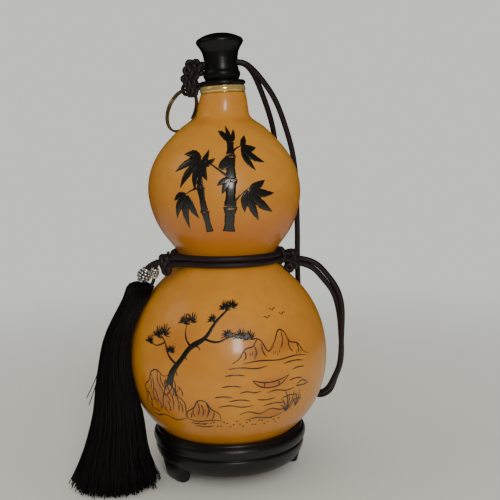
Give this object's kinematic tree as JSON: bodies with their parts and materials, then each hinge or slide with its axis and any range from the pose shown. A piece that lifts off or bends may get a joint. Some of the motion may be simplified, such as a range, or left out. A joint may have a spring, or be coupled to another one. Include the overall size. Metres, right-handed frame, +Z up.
{
  "type": "bottle gourd flask",
  "caption": "Varnished dried bottle gourd with a black stopper, brass collar, waist cord, split ring and tassel, standing in a low three-footed ring.",
  "frame": {"origin": "centre of the object's footprint on the table, under the middle of its box without the hanging cords", "axes": "+Z up along the gourd, front towards -Y"},
  "size_m": [0.1618, 0.1206, 0.2624],
  "materials": {
    "gourd_shell": "varnished dried gourd shell, amber, glossy",
    "collar_brass": "polished turned brass",
    "black_wood": "black lacquered turned wood",
    "stand_black": "black satin lacquered wood",
    "braided_cord": "fine braided synthetic cord, very dark brown",
    "tassel_silk": "near-black artificial silk thread",
    "bead_silver": "silver filigree bead",
    "ring_brass": "aged brass-coloured spring wire"
  },
  "bodies": {
    "root": {"gourd": "gourd_shell", "brass_collar": "collar_brass", "mouth_bush": "black_wood", "stopper": "black_wood", "stand": "stand_black", "waist_cord_lower": "braided_cord", "waist_cord_upper": "braided_cord", "waist_knot_left": "braided_cord", "waist_knot_right": "braided_cord", "sling_strand_1": "braided_cord", "sling_strand_2": "braided_cord", "neck_knot": "braided_cord", "split_ring": "ring_brass", "tassel_cord_1": "braided_cord", "tassel_cord_2": "braided_cord", "large_bead": "bead_silver", "small_bead": "bead_silver", "tassel": "tassel_silk"}
  },
  "joints": []
}
